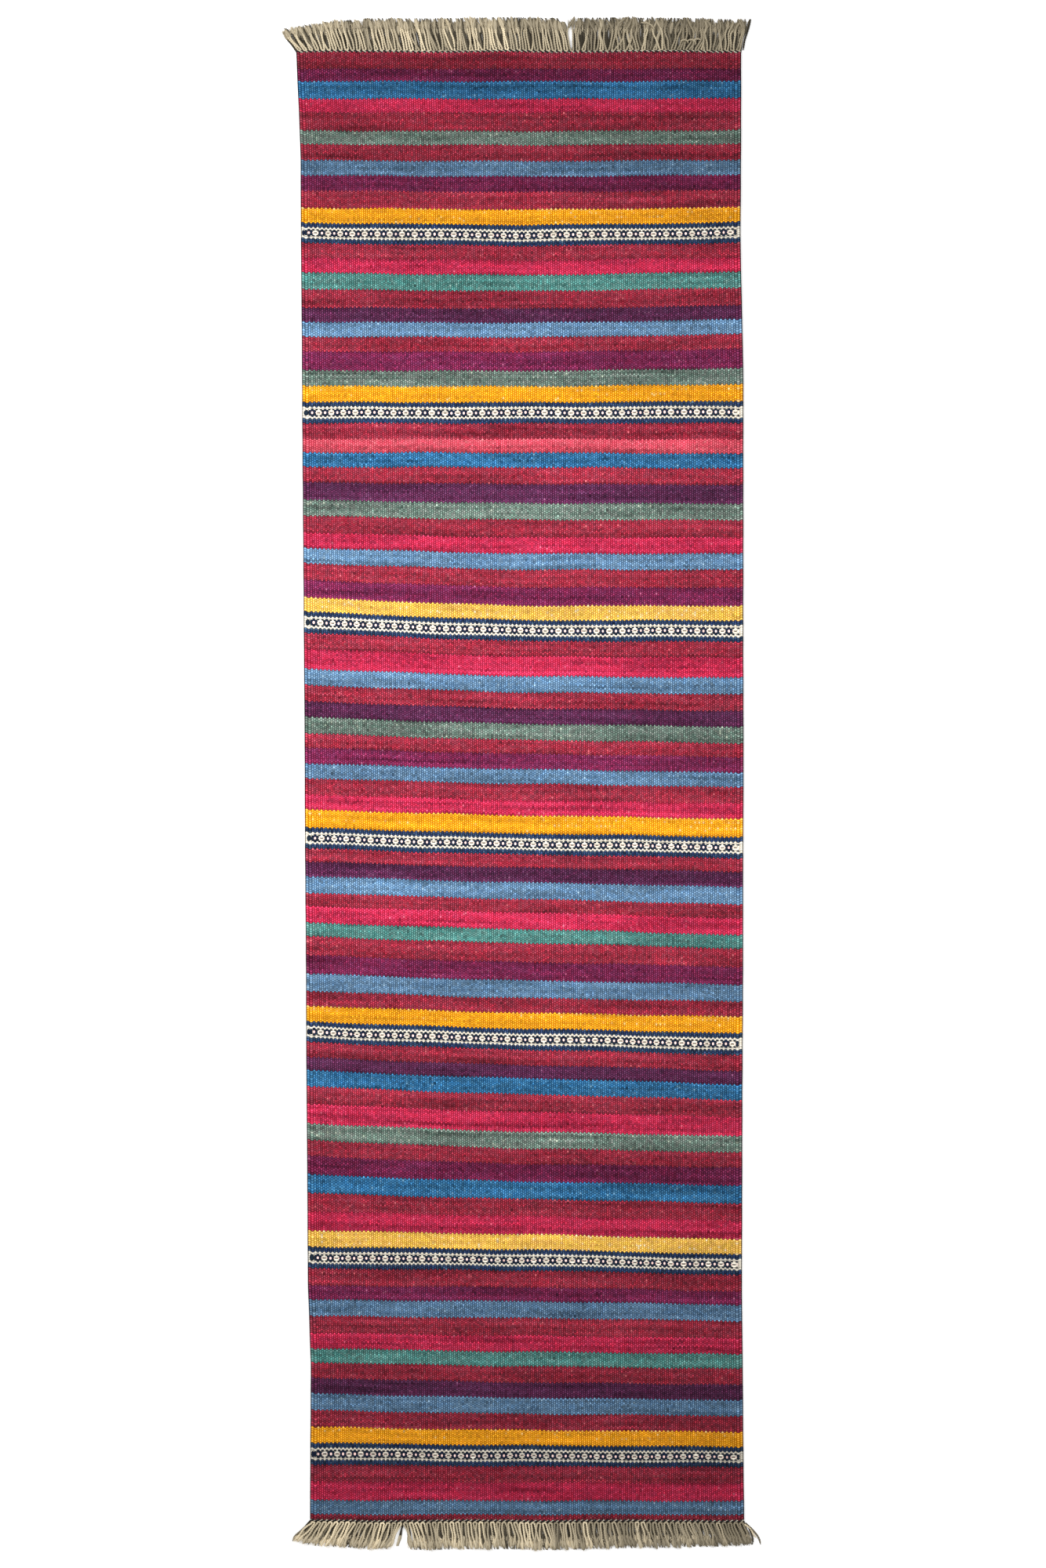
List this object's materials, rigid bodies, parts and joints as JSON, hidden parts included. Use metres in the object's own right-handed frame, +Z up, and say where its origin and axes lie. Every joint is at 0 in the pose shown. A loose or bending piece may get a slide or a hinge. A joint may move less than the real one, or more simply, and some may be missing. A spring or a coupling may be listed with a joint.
{
  "type": "runner rug",
  "caption": "Long narrow flat-woven wool rug: striped weft bands, bands of small diamond figures between navy borders, twined ends and a short tassel fringe at both ends.",
  "frame": {"origin": "on the underside of the cloth, at mid width and mid length", "axes": "+X across the width, +Y along the length, +Z up out of the face of the rug"},
  "size_m": [0.6411, 2.0938, 0.0036],
  "materials": {
    "ivory_warp": "matt spun wool cord",
    "madder_yarn": "matt spun wool",
    "raspberry_yarn": "matt spun wool",
    "coral_yarn": "matt spun wool",
    "plum_yarn": "matt spun wool",
    "aubergine_yarn": "matt spun wool",
    "blue_yarn": "matt spun wool",
    "light_blue_yarn": "matt spun wool",
    "teal_yarn": "matt spun wool",
    "sage_yarn": "matt spun wool",
    "gold_yarn": "matt spun wool",
    "straw_yarn": "matt spun wool",
    "navy_yarn": "matt spun wool",
    "ivory_yarn": "matt spun wool",
    "pink_yarn": "matt spun wool",
    "dark_twine": "matt spun wool",
    "ivory_twine": "matt spun wool",
    "fringe_wool": "matt two-ply wool with brushed tips"
  },
  "bodies": {
    "root": {"warps": "ivory_warp", "selvedge_cords": "ivory_warp", "madder_weft_1": "madder_yarn", "madder_weft_2": "madder_yarn", "madder_weft_3": "madder_yarn", "madder_weft_4": "madder_yarn", "madder_weft_5": "madder_yarn", "madder_weft_6": "madder_yarn", "madder_weft_7": "madder_yarn", "madder_weft_8": "madder_yarn", "raspberry_weft": "raspberry_yarn", "coral_weft": "coral_yarn", "plum_weft": "plum_yarn", "aubergine_weft": "aubergine_yarn", "blue_weft": "blue_yarn", "light_blue_weft": "light_blue_yarn", "teal_weft": "teal_yarn", "sage_weft": "sage_yarn", "gold_weft_1": "gold_yarn", "gold_weft_2": "gold_yarn", "gold_weft_3": "straw_yarn", "gold_weft_4": "gold_yarn", "gold_weft_5": "gold_yarn", "gold_weft_6": "straw_yarn", "gold_weft_7": "gold_yarn", "pattern_border_1": "navy_yarn", "pattern_border_2": "navy_yarn", "pattern_border_3": "navy_yarn", "pattern_border_4": "navy_yarn", "pattern_border_5": "navy_yarn", "pattern_border_6": "navy_yarn", "pattern_border_7": "navy_yarn", "pattern_zigzag_1": "ivory_yarn", "pattern_zigzag_2": "ivory_yarn", "pattern_zigzag_3": "ivory_yarn", "pattern_zigzag_4": "ivory_yarn", "pattern_zigzag_5": "ivory_yarn", "pattern_zigzag_6": "ivory_yarn", "pattern_zigzag_7": "ivory_yarn", "pattern_figure_1": "pink_yarn", "pattern_figure_2": "pink_yarn", "pattern_figure_3": "pink_yarn", "pattern_figure_4": "pink_yarn", "pattern_figure_5": "pink_yarn", "pattern_figure_6": "pink_yarn", "pattern_figure_7": "pink_yarn", "twining_dark_top": "dark_twine", "twining_ivory_top": "ivory_twine", "fringe_top": "fringe_wool", "twining_dark_bottom": "dark_twine", "twining_ivory_bottom": "ivory_twine", "fringe_bottom": "fringe_wool"}
  },
  "joints": []
}
